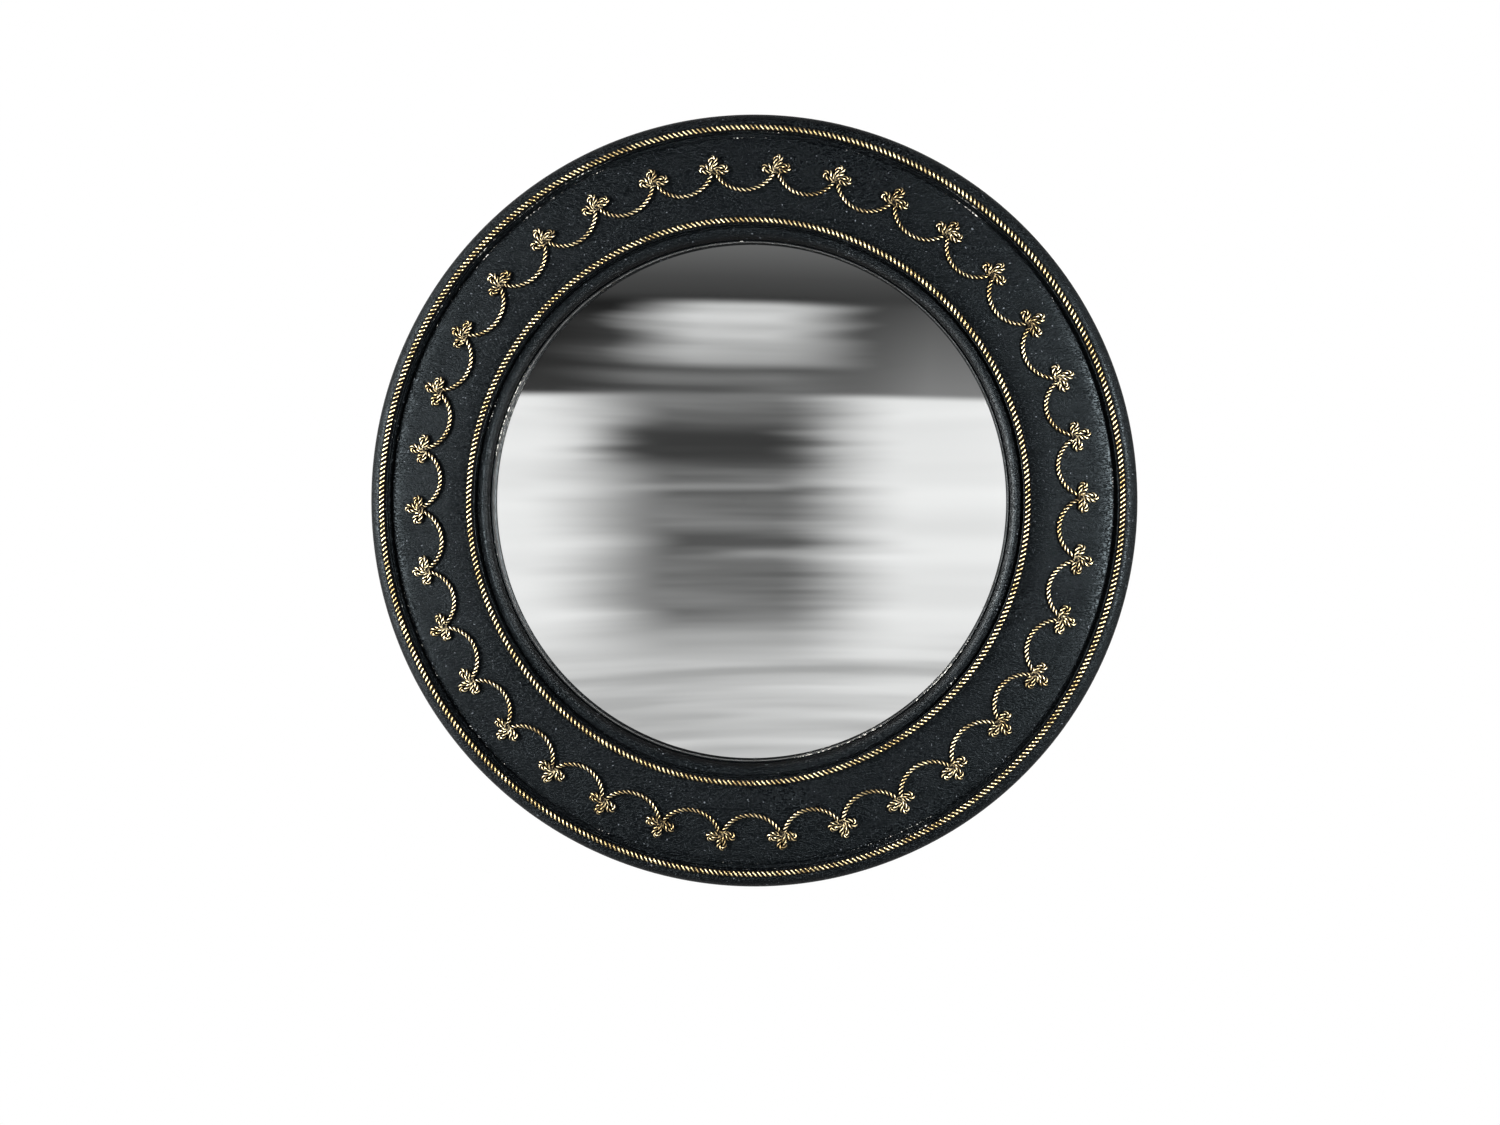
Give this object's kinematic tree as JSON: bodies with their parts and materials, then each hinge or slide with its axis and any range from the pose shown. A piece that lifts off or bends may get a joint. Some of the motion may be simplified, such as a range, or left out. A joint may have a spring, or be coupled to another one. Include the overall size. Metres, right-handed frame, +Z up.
{
  "type": "convex butlers mirror",
  "caption": "Round convex wall mirror in a dark turned wooden frame with gilt rope rings and a looped rope garland; turn buttons close the back and ring hangers carry it.",
  "frame": {"origin": "middle of the mirror in the wall plane", "axes": "+Z up, +X to the right seen from the front, front faces -Y, +Y into the wall"},
  "size_m": [0.5999, 0.0486, 0.6],
  "materials": {
    "ebonised_wood": "satin blue-black paint over open grain",
    "black_slip": "black paint",
    "gilt_rope": "gilded moulded composition, dark in the grooves",
    "gilt_garland": "gilded moulded composition, dark in the grooves",
    "black_felt": "felt",
    "silvered_glass": "old silvered glass",
    "plain_wood": "bare softwood",
    "board": "bare plywood",
    "screw_steel": "slotted round head",
    "plated_steel": "plated strip",
    "ring_steel": "plated wire",
    "pad_rubber": "soft rubber",
    "stamped_brass": "stamped sheet"
  },
  "bodies": {
    "mirror_frame": {"face_ring": "ebonised_wood", "back_ring": "ebonised_wood", "sight_slip": "black_slip", "outer_rope": "gilt_rope", "inner_rope": "gilt_rope", "rope_garland": "gilt_garland", "felt_ring": "black_felt", "convex_glass": "silvered_glass", "glass_blocks": "plain_wood", "backboard": "board", "button_screws": "screw_steel", "left_hanger_screws": "screw_steel", "right_hanger_screws": "screw_steel", "left_hanger_strap": "plated_steel", "right_hanger_strap": "plated_steel", "wall_pads": "pad_rubber"},
    "left_ring": {"left_hanger_ring": "ring_steel"},
    "right_ring": {"right_hanger_ring": "ring_steel"},
    "button_1": {"turn_button_1": "stamped_brass"},
    "button_2": {"turn_button_2": "stamped_brass"},
    "button_3": {"turn_button_3": "stamped_brass"},
    "button_4": {"turn_button_4": "stamped_brass"},
    "button_5": {"turn_button_5": "stamped_brass"},
    "button_6": {"turn_button_6": "stamped_brass"}
  },
  "joints": [
    {"name": "turn_button_1_turn", "type": "hinge", "parent": "mirror_frame", "child": "button_1", "pos_m": [0, -0.0054, 0.2355], "axis": [0, 1, 0], "continuous": true},
    {"name": "turn_button_2_turn", "type": "hinge", "parent": "mirror_frame", "child": "button_2", "pos_m": [0.20395, -0.0054, 0.11775], "axis": [0, 1, 0], "continuous": true},
    {"name": "turn_button_3_turn", "type": "hinge", "parent": "mirror_frame", "child": "button_3", "pos_m": [0.20395, -0.0054, -0.11775], "axis": [0, 1, 0], "continuous": true},
    {"name": "turn_button_4_turn", "type": "hinge", "parent": "mirror_frame", "child": "button_4", "pos_m": [0, -0.0054, -0.2355], "axis": [0, 1, 0], "continuous": true},
    {"name": "turn_button_5_turn", "type": "hinge", "parent": "mirror_frame", "child": "button_5", "pos_m": [-0.20395, -0.0054, -0.11775], "axis": [0, 1, 0], "continuous": true},
    {"name": "turn_button_6_turn", "type": "hinge", "parent": "mirror_frame", "child": "button_6", "pos_m": [-0.20395, -0.0054, 0.11775], "axis": [0, 1, 0], "continuous": true},
    {"name": "left_ring_swing", "type": "hinge", "parent": "mirror_frame", "child": "left_ring", "pos_m": [-0.15, -0.0033, 0.21781], "axis": [-1, 0, 0], "range_deg": [0, 172]},
    {"name": "right_ring_swing", "type": "hinge", "parent": "mirror_frame", "child": "right_ring", "pos_m": [0.15, -0.0033, 0.21781], "axis": [-1, 0, 0], "range_deg": [0, 172]}
  ]
}
